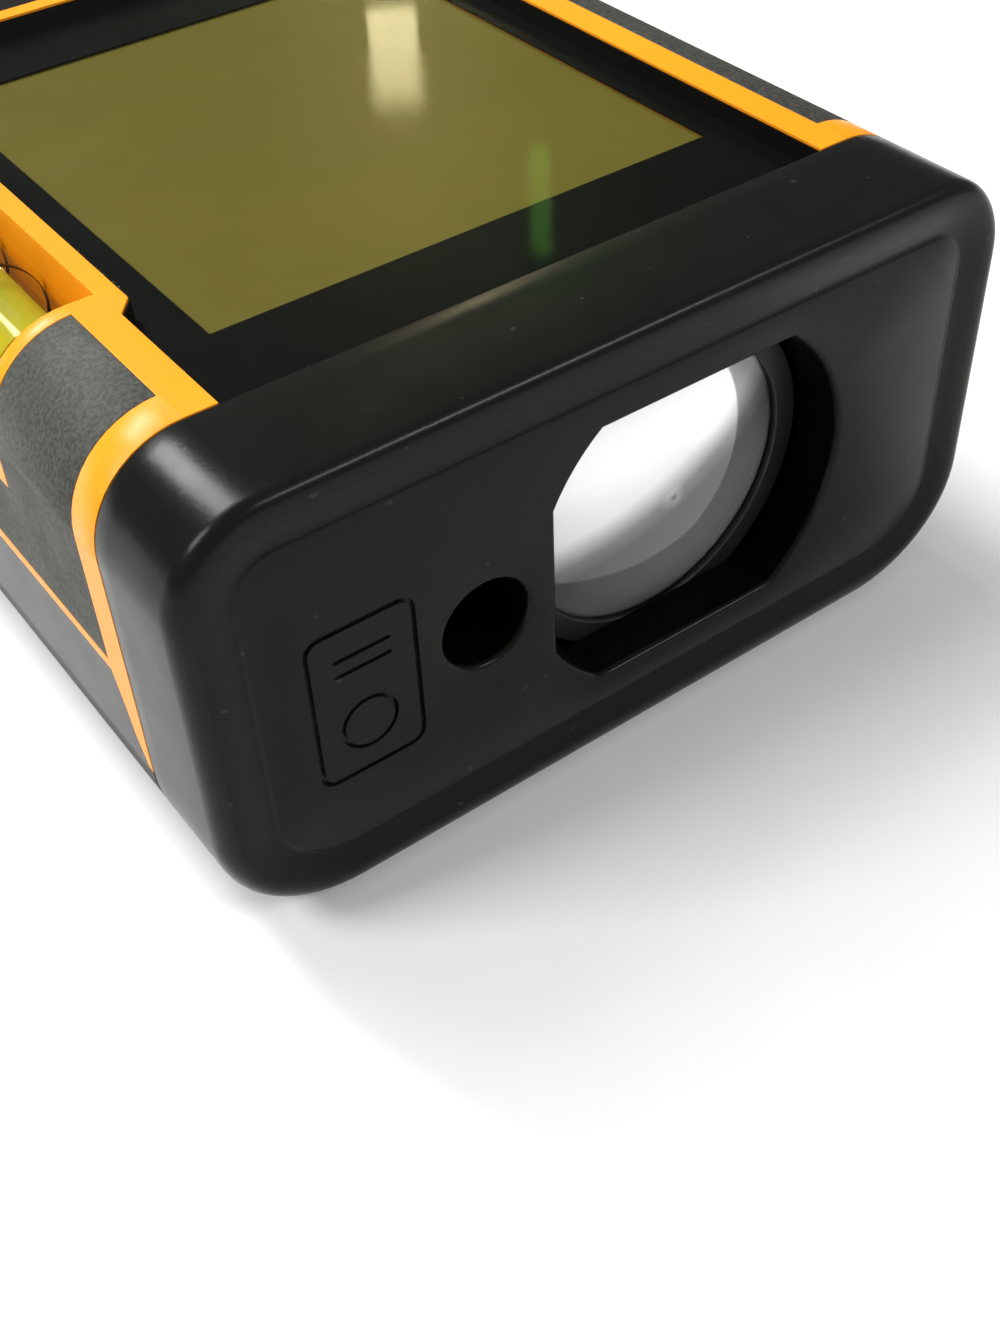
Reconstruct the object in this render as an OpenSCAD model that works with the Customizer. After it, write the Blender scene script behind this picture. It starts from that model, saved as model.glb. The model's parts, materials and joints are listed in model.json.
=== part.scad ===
// Handheld laser distance meter.
// Frame: X is the width, Y the length, Z up out of the display.
// The origin is the centre of the footprint, on the flat back. The laser leaves towards -Y.

/* [Case] */
// Overall length from the front face to the rear measuring face
case_l = 118; // [112:1:126]
// Overall width
case_w = 54; // [54:0.5:58]
// Height from the flat back to the top face, without the keys
case_h = 28.5; // [28.5:0.25:30]
// Radius of the two long edges along the top
top_r = 5.7; // [5:0.1:6]
// Radius of the two long edges along the back
bottom_r = 8; // [7:0.1:8.5]
// Wall thickness of the moulded shells
wall = 2.4; // [2.2:0.1:2.6]
// Length of the black front cap
cap_l = 7.65; // [7.4:0.05:8]
// Height of the joint between the upper and the lower housing
parting_z = 13.9; // [13.5:0.1:14.2]
// Depth of the rubber grips moulded into the upper housing
grip_t = 1.1; // [0.8:0.1:1.2]

/* [Display] */
// Half width of the display window
window_hw = 19.3; // [19.2:0.1:19.4]
// Rear edge of the display window
window_rear_y = -3; // [-5:0.5:-2]
// Half width of the visible display area
view_hw = 16.7; // [15:0.1:16.8]
// Front edge of the visible display area
view_front_y = -45.8; // [-46:0.1:-44]

/* [Optics] */
// Distance of the receiver lens to the right of the centre line
lens_x = 4.4; // [4:0.1:4.6]
// Height of the receiver lens
lens_z = 14.5; // [14.2:0.1:14.8]
// Radius of the receiver lens
lens_r = 9.6; // [9.2:0.1:9.6]
// Radius of the receiver opening in the front face
opening_r = 10.9; // [10.7:0.1:11]
// Half height of the flats that clip the receiver opening
opening_hz = 8.7; // [8:0.1:9]
// Distance of the laser to the left of the centre line
laser_x = -9.9; // [-10.5:0.1:-9.9]
// Height of the laser
laser_z = 14.25; // [13.8:0.05:14.8]
// Radius of the laser aperture
laser_r = 2.75; // [2.6:0.05:2.8]

/* [Keys] */
// Radius of the round measuring button
measure_r = 7.5; // [6.5:0.1:7.6]
// Width of a function key
key_w = 10; // [9:0.5:10]
// Length of a function key
key_l = 7.4; // [6.5:0.1:8]
// Travel of every key
key_travel = 0.6; // [0.4:0.05:0.7]
// Height of the function keys above the key panel
key_proud = 0.6; // [0.4:0.1:0.8]

/* [Level] */
// Outer radius of the spirit level's vial
vial_r = 3.2; // [3:0.05:3.2]
// Length of the vial
vial_l = 20; // [18:0.5:20]
// Travel of the bubble to either side of the middle
bubble_travel = 3.5; // [2:0.1:3.5]

/* [Batteries] */
// Diameter of an AAA cell
cell_d = 10.5; // [10.4:0.05:10.5]
// Length of an AAA cell, without its positive tip
cell_l = 43.3; // [43:0.1:43.3]

/* [Hidden] */
$fn = 96;

eps = 0.01;
far = 200;
front_y = -case_l / 2;
rear_y = case_l / 2;
cap_rear_y = front_y + cap_l;
shell_gap = 0.05;
front_edge_r = 0.9;
front_bottom_r = 2.2;
rear_corner_r = 6;
rear_edge_r = 3;

// Orange strip between the grip and the lower housing, and the grip's outline
strip_h = 0.7;
grip_x = 21.4;
grip_front_y = cap_rear_y + 2.45;
grip_rear_y = rear_y - 8;

// Window pocket and the layers under the window
window_t = 1.2;
window_top_z = case_h - 0.1;
window_z = window_top_z - window_t;
mask_t = 0.1;
window_front_y = cap_rear_y + 0.1;
fit_gap = 0.1;
step_x = 18.3;
step_y = [-41.4, -40.2, -17, -15.8];
view_rear_y = window_rear_y - 6;
glass_margin = 0.6;
glass_t = 2;
glass_z = window_z - 0.2 - glass_t;
backlight_t = 1.2;
backlight_z = glass_z - backlight_t - 0.05;
board_t = 1.2;
board_z = backlight_z - board_t - 0.3;
board_top_z = board_z + board_t;
board_hw = 17.8;
board_y = [-44, 44];

// Key panel, keys and mat
panel_y = [-1.5, 44];
panel_z = window_z;
key_gap = 0.25;
key_flange = 0.6;
flange_t = 0.8;
flange_z = panel_z - 0.1 - flange_t;
key_corner_r = 2.4;
mat_nub_z = flange_z - key_travel - 0.1;
mat_t = 0.6;
mat_z = board_top_z + 0.8;
measure_y = 9;
measure_proud = 0.9;
KEY_PLACES = [
    [-13.3, 9], [13.3, 9],
    [-12, 23.5], [0, 23.5], [12, 23.5],
    [-12, 34.5], [0, 34.5], [12, 34.5]
];
side_key_w = 7.4;
side_key_l = 11;

// Optics, placed back from the front face
face_t = 2.4;
ring_front_y = front_y + 3.6;
lens_edge_y = front_y + 4.1;
lens_edge_t = 2.5;
lens_curve_r = 22;
lens_seat_y = lens_edge_y + lens_edge_t;
ring_inner_r = 9.15;
cup_r = 10.8;
bulkhead_y = front_y + 8.8;
bulkhead_t = 1.4;
focus_y = front_y + 27;
sensor_board_y = front_y + 27.5;
barrel_r = 3.3;
barrel_bore_r = 2.3;
barrel_y = [front_y + 4.2, front_y + 20.5];
diode_r = 2.8;

// Spirit level
vial_x = -22.9;
vial_z = 24.6;
vial_y = -28.4;
vial_wall = 0.8;
vial_end_t = 1.2;
bubble_r = 1.2;
bubble_l = 5;
bubble_lift = 0.9;
ring_line = 0.35;

// Battery bay, door and cells
bay_hw = 12.6;
bay_y = [6, 55.4];
bay_top_z = 13;
cell_x = 5.6;
cell_z = 7.6;
cell_front_y = 10.3;
tip_l = 1.2;
tip_r = 1.9;
door_t = 1.8;
door_hw = 12;
door_front_y = 5;
door_gap = 0.12;
tongue_w = 1;
tongue_t = 0.8;

// Case screws
screw_places = [[-21.5, -45], [21.5, -45], [-21.5, 48], [21.5, 48]];
boss_r = 2.6;
screw_r = 0.98;
head_r = 1.9;
head_z = 3.2;
head_t = 1.4;

// ---------- shared shapes ----------

// Flat rectangle with round corners, centred
module round_rect(w, l, r) {
    square([w - 2 * r, l], center = true);
    square([w, l - 2 * r], center = true);
    for (x = [-1, 1], y = [-1, 1])
        translate([x * (w / 2 - r), y * (l / 2 - r)]) circle(r);
}

// Cross-section of the case (across, up), drawn in by an inset
module case_section(inset) {
    hw = case_w / 2 - inset;
    rt = top_r - inset;
    rb = bottom_r - inset;
    lo = inset;
    hi = case_h - inset;
    translate([-hw, lo + rb]) square([2 * hw, hi - rt - lo - rb]);
    translate([-hw + rb, lo]) square([2 * (hw - rb), rb + eps]);
    translate([-hw + rt, hi - rt - eps]) square([2 * (hw - rt), rt + eps]);
    for (s = [-1, 1]) {
        translate([s * (hw - rb), lo + rb]) circle(rb);
        translate([s * (hw - rt), hi - rt]) circle(rt);
    }
}

// Outline of a rectangle from (x0, y0) to (x1, y1) with its own radius at each corner
module outline(x0, y0, x1, y1, r00, r10, r11, r01) {
    difference() {
        translate([x0, y0]) square([x1 - x0, y1 - y0]);
        corner_cut(x0, y0, r00, 1, 1);
        corner_cut(x1, y0, r10, -1, 1);
        corner_cut(x1, y1, r11, -1, -1);
        corner_cut(x0, y1, r01, 1, -1);
    }
}

// What a round corner takes off a sharp one
module corner_cut(x, y, r, sx, sy) {
    difference() {
        translate([x - (sx > 0 ? 1 : r), y - (sy > 0 ? 1 : r)]) square([r + 1, r + 1]);
        translate([x + sx * r, y + sy * r]) circle(r);
    }
}

// The whole case as one solid, drawn in by an inset
module case_solid(inset) {
    rear_r = rear_corner_r - inset;
    edge_r = rear_edge_r - inset;
    front_r = max(front_edge_r - inset, 0.3);
    low_r = max(front_bottom_r - inset, 0.3);
    y0 = front_y + inset;
    y1 = rear_y - inset;
    intersection() {
        translate([0, far / 2, 0]) rotate([90, 0, 0]) linear_extrude(far) case_section(inset);
        linear_extrude(far, center = true)
            outline(-case_w / 2 + inset, y0, case_w / 2 - inset, y1, front_r, front_r, rear_r, rear_r);
        rotate([90, 0, 90]) linear_extrude(far, center = true)
            outline(y0, inset, y1, case_h - inset, low_r, edge_r, edge_r, front_r);
    }
}

// A box from its lowest to its highest corner
module box(lo, hi) {
    translate(lo) cube(hi - lo);
}

// A cylinder along Y from y0 to y1
module rod_y(x, z, r, y0, y1) {
    translate([x, y0, z]) rotate([-90, 0, 0]) cylinder(h = y1 - y0, r = r);
}

// A cone along Y from radius r0 at y0 to radius r1 at y1
module cone_y(x, z, r0, r1, y0, y1) {
    translate([x, y0, z]) rotate([-90, 0, 0]) cylinder(h = y1 - y0, r1 = r0, r2 = r1);
}

// ---------- case ----------

// Receiver opening: a circle clipped by flats above, below and towards the laser
module opening_shape(grow) {
    intersection() {
        circle(opening_r + grow);
        translate([-opening_r + 1.2 - grow, -opening_hz - grow])
            square([2 * opening_r + 2 * grow, 2 * (opening_hz + grow)]);
    }
}

module front_prism(x, z, y0, y1) {
    translate([x, y1, z]) rotate([90, 0, 0]) linear_extrude(y1 - y0) children();
}

module front_cap() {
    color([0.2, 0.21, 0.2])
    difference() {
        union() {
            difference() {
                intersection() {
                    case_solid(0);
                    box([-far, -far, -far], [far, cap_rear_y, far]);
                }
                case_solid(wall);
            }
            // Hood round the receiver opening and collar round the laser aperture
            front_prism(lens_x, lens_z, front_y + face_t - eps, ring_front_y - 0.1) opening_shape(1);
            rod_y(laser_x, laser_z, laser_r + 0.9, front_y + face_t - eps, front_y + 3.9);
            // Tongues that plug into the housings on both sides
            for (s = [-1, 1])
                translate([s * (case_w / 2 - wall - 0.65), cap_rear_y - 1, parting_z])
                    cube([1.2, 5, 9], center = true);
        }
        front_prism(lens_x, lens_z, front_y - 1, front_y + 6) opening_shape(0);
        rod_y(laser_x, laser_z, laser_r, front_y - 1, front_y + 6);
        // Groove that frames the moulded sign plate
        front_prism(-17.5, 13.8, front_y - 1, front_y + 0.25) difference() {
            round_rect(6.6, 10.4, 1);
            round_rect(6, 9.8, 0.7);
        }
    }
}

// Side view of the orange collar: it narrows below the parting line
module collar_zone() {
    rotate([90, 0, 90]) linear_extrude(far, center = true)
        polygon([
            [cap_rear_y, case_h + 1], [cap_rear_y, 8],
            [cap_rear_y + 0.45, 8.2], [cap_rear_y + 1.3, 9.9],
            [cap_rear_y + 1.7, 11.6], [cap_rear_y + 2.45, parting_z],
            [cap_rear_y + 2.45, case_h + 1]
        ]);
}

// Space of one rubber grip before it is limited to the case's skin
module grip_zone(side) {
    difference() {
        box([min(side * grip_x, side * far), grip_front_y, parting_z + strip_h],
            [max(side * grip_x, side * far), grip_rear_y, far]);
        if (side < 0)
            box([-far, vial_y - vial_l / 2 - 1.3, vial_z - vial_r - 1.2],
                [0, vial_y + vial_l / 2 + 1.3, far]);
    }
}

module grip(side) {
    difference() {
        intersection() {
            case_solid(0);
            grip_zone(side);
        }
        case_solid(grip_t);
    }
}

// Window outline: it steps in beside the spirit level
module window_outline(grow) {
    polygon([
        [-window_hw - grow, window_front_y - grow],
        [window_hw + grow, window_front_y - grow],
        [window_hw + grow, window_rear_y + grow],
        [-window_hw - grow, window_rear_y + grow],
        [-window_hw - grow, step_y[3] - grow],
        [-step_x - grow, step_y[2] - grow],
        [-step_x - grow, step_y[1] + grow],
        [-window_hw - grow, step_y[0] + grow]
    ]);
}

// Notch for the spirit level, open upwards and to the side
module level_notch() {
    y0 = vial_y - vial_l / 2 - 0.3;
    y1 = vial_y + vial_l / 2 + 0.3;
    rod_y(vial_x, vial_z, vial_r + 0.05, y0, y1);
    translate([vial_x - vial_r - 0.05, y0, vial_z]) cube([2 * vial_r + 0.1, y1 - y0, far]);
    translate([vial_x - far, y0, vial_z]) cube([far, y1 - y0, far]);
}

module upper_housing() {
    color([0.98, 0.66, 0.13])
    difference() {
        union() {
            difference() {
                intersection() {
                    case_solid(0);
                    union() {
                        box([-far, cap_rear_y + shell_gap, parting_z], [far, far, far]);
                        intersection() {
                            collar_zone();
                            box([-far, cap_rear_y + shell_gap, 0], [far, 0, far]);
                        }
                    }
                }
                case_solid(wall);
            }
            // Bed of the spirit level
            intersection() {
                case_solid(0.2);
                box([-far, vial_y - vial_l / 2 - 2.5, vial_z - vial_r - 1.4],
                    [-step_x + 0.2, vial_y + vial_l / 2 + 2.5, case_h]);
            }
            // Screw bosses
            intersection() {
                case_solid(0.5);
                for (p = screw_places)
                    translate([p[0], p[1], parting_z]) cylinder(h = far, r = boss_r);
            }
        }
        grip(-1);
        grip(1);
        level_notch();
        // Pockets of the window and of the key panel, and the openings under them
        translate([0, 0, window_z - mask_t]) linear_extrude(far) window_outline(fit_gap);
        translate([0, 0, window_z - mask_t]) linear_extrude(far)
            translate([-window_hw, cap_rear_y - 1]) square([2 * window_hw, 3]);
        box([-view_hw - glass_margin - 0.1, view_front_y - glass_margin - 0.1, parting_z],
            [view_hw + glass_margin + 0.1, view_rear_y + glass_margin + 0.1, far]);
        translate([0, (panel_y[0] + panel_y[1]) / 2, panel_z]) linear_extrude(far)
            round_rect(2 * (window_hw + fit_gap), panel_y[1] - panel_y[0] + 2 * fit_gap, 1.5 + fit_gap);
        box([-window_hw + 1, panel_y[0] + 0.8, parting_z], [window_hw - 1, panel_y[1] - 0.8, far]);
        for (p = screw_places)
            translate([p[0], p[1], 0]) cylinder(h = 21, r = screw_r + 0.02);
        // Room for the tongues of the front cap
        for (s = [-1, 1])
            translate([s * (case_w / 2 - wall - 0.65), cap_rear_y - 1, parting_z])
                cube([1.4, 5.2, 9.2], center = true);
    }
}

module lower_housing() {
    color([0.17, 0.17, 0.17])
    difference() {
        union() {
            difference() {
                intersection() {
                    case_solid(0);
                    box([-far, cap_rear_y + shell_gap, -far], [far, far, parting_z]);
                }
                case_solid(wall);
            }
            // Battery bay
            intersection() {
                case_solid(0.4);
                box([-bay_hw - 1.4, door_front_y - 1.4, 0], [bay_hw + 1.4, far, bay_top_z + 0.9]);
            }
            // Screw bosses and board posts
            intersection() {
                case_solid(0.5);
                union() {
                    for (p = screw_places)
                        translate([p[0], p[1], 0]) cylinder(h = parting_z, r = boss_r + 0.2);
                    for (x = [-15.5, 15.5], y = [-38, 0])
                        translate([x, y, 0]) cylinder(h = board_z, r = 1.8);
                }
            }
        }
        difference() {
            intersection() {
                case_solid(-1);
                collar_zone();
            }
            case_solid(wall);
        }
        box([-bay_hw, bay_y[0], door_t + 0.4], [bay_hw, bay_y[1], bay_top_z]);
        // Mouth of the bay and the grooves that the door slides in
        box([-door_hw - door_gap, door_front_y - door_gap, -1], [door_hw + door_gap, far, door_t + 0.1]);
        box([-door_hw + 0.6, door_front_y + 2, -1], [door_hw - 0.6, bay_y[1], bay_top_z]);
        box([-door_hw - tongue_w - door_gap, door_front_y - door_gap, door_t - tongue_t - door_gap],
            [door_hw + tongue_w + door_gap, far, door_t + 0.1]);
        for (p = screw_places) {
            translate([p[0], p[1], -1]) cylinder(h = head_z + head_t + 1.1, r = head_r + 0.2);
            translate([p[0], p[1], 0]) cylinder(h = far, r = screw_r + 0.15);
        }
        // Recess of the rating label
        translate([0, -22, -1]) linear_extrude(1.2) round_rect(26, 34, 1.5);
        for (s = [-1, 1])
            translate([s * (case_w / 2 - wall - 0.65), cap_rear_y - 1, parting_z])
                cube([1.4, 5.2, 9.2], center = true);
    }
}

module left_grip() {
    color([0.3, 0.3, 0.29]) grip(-1);
}

module right_grip() {
    color([0.3, 0.3, 0.29]) grip(1);
}

// ---------- display ----------

module display_window() {
    color([0.1, 0.1, 0.1, 0.4])
        translate([0, 0, window_z]) linear_extrude(window_t) window_outline(0);
}

module window_mask() {
    color([0.04, 0.04, 0.04])
        translate([0, 0, window_z - mask_t]) linear_extrude(mask_t) difference() {
            window_outline(-0.1);
            translate([-view_hw, view_front_y]) square([2 * view_hw, view_rear_y - view_front_y]);
        }
}

module lcd_glass() {
    color([0.42, 0.4, 0.2])
        box([-view_hw - glass_margin, view_front_y - glass_margin, glass_z],
            [view_hw + glass_margin, view_rear_y + glass_margin, glass_z + glass_t]);
}

module lcd_backlight() {
    color([0.95, 0.95, 0.88])
        box([-view_hw - 0.2, view_front_y, backlight_z],
            [view_hw + 0.2, view_rear_y, backlight_z + backlight_t]);
}

// Elastomer strip that joins the display's edge contacts to the board
module lcd_connector() {
    color([0.85, 0.55, 0.6])
        box([-14, view_rear_y + 0.2, board_top_z], [14, view_rear_y + glass_margin, glass_z]);
}

// ---------- keypad ----------

// Plan of key number i, grown all round; the first two stand beside the measuring button
module key_plan(i, grow) {
    w = i < 2 ? side_key_w : key_w;
    l = i < 2 ? side_key_l : key_l;
    translate(KEY_PLACES[i]) round_rect(w + 2 * grow, l + 2 * grow, key_corner_r + grow);
}

module keypad_panel() {
    color([0.07, 0.07, 0.07])
        translate([0, 0, panel_z]) linear_extrude(window_t) difference() {
            translate([0, (panel_y[0] + panel_y[1]) / 2])
                round_rect(2 * window_hw, panel_y[1] - panel_y[0], 1.5);
            for (i = [0 : len(KEY_PLACES) - 1]) key_plan(i, key_gap);
            translate([0, measure_y]) circle(measure_r + key_gap);
        }
}

// One key: its cap through the panel and the flange that keeps it in
module key(i) {
    color([0.32, 0.32, 0.32]) {
        translate([0, 0, flange_z]) linear_extrude(flange_t) key_plan(i, key_flange);
        translate([0, 0, flange_z]) linear_extrude(window_top_z + key_proud - flange_z) key_plan(i, 0);
    }
}

module measure_button() {
    color([0.98, 0.6, 0.1]) translate([0, measure_y, flange_z]) {
        cylinder(h = flange_t, r = measure_r + key_flange);
        cylinder(h = window_top_z + measure_proud - flange_z, r = measure_r);
    }
}

module plus_key() { key(0); }
module minus_key() { key(1); }
module area_key() { key(2); }
module unit_key() { key(3); }
module reference_key() { key(4); }
module memory_key() { key(5); }
module light_key() { key(6); }
module power_key() { key(7); }

// Silicone mat: a sheet with a rim on the board and a soft cone under each key
module key_mat() {
    color([0.75, 0.75, 0.72]) {
        box([-window_hw + 1.4, panel_y[0] + 1.2, mat_z],
            [window_hw - 1.4, panel_y[1] - 1.2, mat_z + mat_t]);
        difference() {
            box([-board_hw + 0.2, panel_y[0] + 1.2, board_top_z],
                [board_hw - 0.2, panel_y[1] - 1.2, mat_z + eps]);
            box([-board_hw + 1.4, panel_y[0] + 2.4, 0], [board_hw - 1.4, panel_y[1] - 2.4, far]);
        }
        for (p = concat(KEY_PLACES, [[0, measure_y]]))
            translate([p[0], p[1], mat_z + mat_t - eps])
                cylinder(h = mat_nub_z - mat_z - mat_t, r1 = 2.4, r2 = 1.6);
    }
}

// Snap domes on the board, one under each key
module dome_switches() {
    color([0.8, 0.8, 0.78])
        for (p = concat(KEY_PLACES, [[0, measure_y]]))
            translate([p[0], p[1], board_top_z]) cylinder(h = 0.45, r1 = 2.1, r2 = 1.2);
}

// ---------- electronics ----------

module main_board() {
    color([0.1, 0.4, 0.2])
        difference() {
            box([-board_hw, board_y[0], board_z], [board_hw, board_y[1], board_top_z]);
            for (x = [-15.5, 15.5])
                translate([x, -38, board_z - 1]) cylinder(h = 4, r = 0.8);
        }
}

// Processor, memory, regulator and small parts under the board
module board_components() {
    color([0.12, 0.12, 0.13]) {
        translate([-5, -14, board_z - 1.2]) linear_extrude(1.2) round_rect(10, 10, 0.3);
        translate([7, -18, board_z - 1]) linear_extrude(1) square([5, 4], center = true);
        translate([8, -8, board_z - 1.6]) linear_extrude(1.6) square([4, 6], center = true);
        for (i = [0 : 5])
            translate([-12 + 4 * i, 2, board_z - 0.6]) linear_extrude(0.6) square([2, 1.2], center = true);
    }
}

module buzzer() {
    color([0.08, 0.08, 0.08])
        translate([9, 26, board_z - 4]) difference() {
            cylinder(h = 4, r = 4.5);
            translate([0, 0, -1]) cylinder(h = 2.5, r = 0.9);
        }
}

// ---------- optics ----------

// Moulded frame that holds the lens, the laser barrel and the sensor board in line
module optics_frame() {
    wing_z = [5, 21];
    color([0.13, 0.13, 0.14])
    difference() {
        union() {
            rod_y(lens_x, lens_z, cup_r, lens_edge_y, bulkhead_y + bulkhead_t);
            cone_y(lens_x, lens_z, 8.9, 4.4, bulkhead_y, sensor_board_y);
            box([-17, bulkhead_y, wing_z[0]], [17, bulkhead_y + bulkhead_t, wing_z[1]]);
            rod_y(laser_x, laser_z, barrel_r + 1, barrel_y[0] + 1, barrel_y[1] - 2);
        }
        rod_y(lens_x, lens_z, lens_r + 0.05, lens_edge_y - 1, lens_seat_y);
        cone_y(lens_x, lens_z, 9, 3, lens_seat_y - eps, focus_y);
        rod_y(lens_x, lens_z, 2.8, focus_y - 4, sensor_board_y + 1);
        rod_y(laser_x, laser_z, barrel_r + 0.02, 2 * front_y, 0);
    }
}

// Plano-convex receiver lens, its domed side to the front
module receiver_lens() {
    dome_y = lens_edge_y + sqrt(lens_curve_r * lens_curve_r - ring_inner_r * ring_inner_r);
    color([0.8, 0.85, 0.85, 0.6])
        intersection() {
            rod_y(lens_x, lens_z, lens_r, front_y, lens_seat_y);
            translate([lens_x, dome_y, lens_z]) rotate([90, 0, 0]) sphere(lens_curve_r);
        }
}

module lens_ring() {
    color([0.25, 0.25, 0.25])
        difference() {
            rod_y(lens_x, lens_z, cup_r - 0.2, ring_front_y, lens_edge_y - 0.02);
            rod_y(lens_x, lens_z, ring_inner_r, front_y, 0);
        }
}

// Photodiode in its metal can, with three leads through the sensor board
module receiver_sensor() {
    color([0.75, 0.7, 0.5]) {
        rod_y(lens_x, lens_z, 2.7, sensor_board_y - 3, sensor_board_y);
        for (a = [90, 210, 330])
            rod_y(lens_x + 1.2 * cos(a), lens_z + 1.2 * sin(a), 0.22,
                  sensor_board_y - 0.5, sensor_board_y + 2);
    }
}

module sensor_board() {
    color([0.1, 0.4, 0.2])
        difference() {
            box([-14, sensor_board_y, 5], [14, sensor_board_y + 1, board_z - 0.5]);
            for (a = [90, 210, 330]) {
                rod_y(lens_x + 1.2 * cos(a), lens_z + 1.2 * sin(a), 0.3, -far, 0);
                rod_y(laser_x + 1.2 * cos(a), laser_z + 1.2 * sin(a), 0.3, -far, 0);
            }
        }
}

module sensor_shield() {
    y0 = sensor_board_y + 1.02;
    color([0.78, 0.78, 0.76])
        difference() {
            box([-3, y0, 7], [12, y0 + 3.5, board_z - 1.5]);
            box([-2.7, y0 - 1, 7.3], [11.7, y0 + 3.2, board_z - 1.8]);
        }
}

// Flat cable from the sensor board up to the main board
module flex_cable() {
    x = [-13, -5];
    y = sensor_board_y + 1.02;
    film_t = 0.18;
    reach = 3;
    low_z = 16.8;
    bend_z = 18.8;
    color([0.75, 0.45, 0.15]) {
        box([x[0], y, low_z], [x[1], y + film_t, bend_z]);
        box([x[0], y, bend_z - film_t], [x[1], y + reach, bend_z]);
        box([x[0], y + reach - film_t, bend_z - film_t], [x[1], y + reach, board_z]);
    }
}

module laser_barrel() {
    color([0.78, 0.6, 0.25])
        difference() {
            rod_y(laser_x, laser_z, barrel_r, barrel_y[0], barrel_y[1]);
            rod_y(laser_x, laser_z, barrel_bore_r, -far, 0);
            rod_y(laser_x, laser_z, diode_r + 0.02, barrel_y[1] - 1.5, 0);
        }
}

module laser_diode() {
    color([0.8, 0.72, 0.45]) {
        rod_y(laser_x, laser_z, diode_r, barrel_y[1] - 1.48, barrel_y[1] - 0.2);
        rod_y(laser_x, laser_z, 1.8, barrel_y[1] - 3.6, barrel_y[1] - 1.4);
        for (a = [90, 210, 330])
            rod_y(laser_x + 1.2 * cos(a), laser_z + 1.2 * sin(a), 0.22,
                  barrel_y[1] - 0.3, sensor_board_y + 2);
    }
}

module collimator_lens() {
    color([0.8, 0.85, 0.9, 0.6])
        intersection() {
            rod_y(laser_x, laser_z, barrel_bore_r - 0.02, barrel_y[0] + 1.2, barrel_y[0] + 3.2);
            translate([laser_x, barrel_y[0] + 5.8, laser_z]) rotate([90, 0, 0]) sphere(4.6);
        }
}

module laser_window() {
    color([0.3, 0.1, 0.1, 0.6])
        rod_y(laser_x, laser_z, laser_r - 0.02, front_y + 3.2, front_y + 3.8);
}

// ---------- spirit level ----------

module level_vial() {
    color([0.9, 0.95, 0.9, 0.4])
        difference() {
            rod_y(vial_x, vial_z, vial_r, vial_y - vial_l / 2, vial_y + vial_l / 2);
            rod_y(vial_x, vial_z, vial_r - vial_wall,
                  vial_y - vial_l / 2 + vial_end_t, vial_y + vial_l / 2 - vial_end_t);
        }
}

// Liquid with the channel that its bubble moves in
module level_liquid() {
    half = vial_l / 2 - vial_end_t - 0.02;
    reach = bubble_l / 2 + bubble_travel + 0.3;
    color([0.75, 0.9, 0.2, 0.7])
        difference() {
            rod_y(vial_x, vial_z, vial_r - vial_wall - 0.02, vial_y - half, vial_y + half);
            rod_y(vial_x, vial_z + bubble_lift, bubble_r + 0.1, vial_y - reach, vial_y + reach);
        }
}

module level_bubble() {
    side = bubble_l / 2 - bubble_r;
    color([0.95, 1, 0.85, 0.6]) {
        rod_y(vial_x, vial_z + bubble_lift, bubble_r, vial_y - side, vial_y + side);
        for (s = [-1, 1])
            translate([vial_x, vial_y + s * side, vial_z + bubble_lift]) rotate([90, 0, 0]) sphere(bubble_r);
    }
}

// Two sighting lines round the vial
module level_rings() {
    gap = bubble_l / 2 + 0.3;
    color([0.05, 0.05, 0.05])
        for (s = [-1, 1])
            difference() {
                rod_y(vial_x, vial_z, vial_r + 0.04,
                      vial_y + s * gap - ring_line / 2, vial_y + s * gap + ring_line / 2);
                rod_y(vial_x, vial_z, vial_r, -far, far);
            }
}

// ---------- batteries ----------

module battery_door() {
    color([0.18, 0.18, 0.18])
    difference() {
        intersection() {
            case_solid(0);
            union() {
                box([-door_hw, door_front_y, 0], [door_hw, far, door_t]);
                box([-door_hw - tongue_w, door_front_y, door_t - tongue_t],
                    [door_hw + tongue_w, far, door_t]);
            }
        }
        // Thumb grooves
        for (i = [0 : 4])
            translate([0, 14 + 1.8 * i, 0]) rotate([0, 90, 0]) cylinder(h = 14, r = 0.45, center = true);
    }
}

// An AAA cell; facing is +1 when its positive tip points to the rear
module cell(x, facing) {
    mid = cell_front_y + cell_l / 2;
    color([0.25, 0.3, 0.35])
        rod_y(x, cell_z, cell_d / 2, cell_front_y, cell_front_y + cell_l);
    color("silver")
        rod_y(x, cell_z, tip_r, min(mid, mid + facing * (cell_l / 2 + tip_l)),
              max(mid, mid + facing * (cell_l / 2 + tip_l)));
}

module battery_left() { cell(-cell_x, -1); }
module battery_right() { cell(cell_x, 1); }

// Points of a ring of the spring wire at angle a, climbing and narrowing with u from 0 to 1
function coil_r(u) = 3.4 - 1.2 * u;
function coil_point(u, turns, height, side, sides, wire) =
    let (a = 360 * turns * u, b = 360 * side / sides, r = coil_r(u) + wire * cos(b))
    [r * cos(a), r * sin(a), height * u + wire * sin(b)];

// Conical spring of round wire, standing on its wide end
module coil_spring(turns, height, wire) {
    rings = 12 * turns;
    sides = 6;
    points = [for (i = [0 : rings], j = [0 : sides - 1])
        coil_point(i / rings, turns, height, j, sides, wire)];
    walls = [for (i = [0 : rings - 1], j = [0 : sides - 1])
        [i * sides + j, i * sides + (j + 1) % sides, (i + 1) * sides + (j + 1) % sides, (i + 1) * sides + j]];
    start = [for (j = [sides - 1 : -1 : 0]) j];
    end = [for (j = [0 : sides - 1]) rings * sides + j];
    polyhedron(points, concat(walls, [start, end]), convexity = 6);
}

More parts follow.
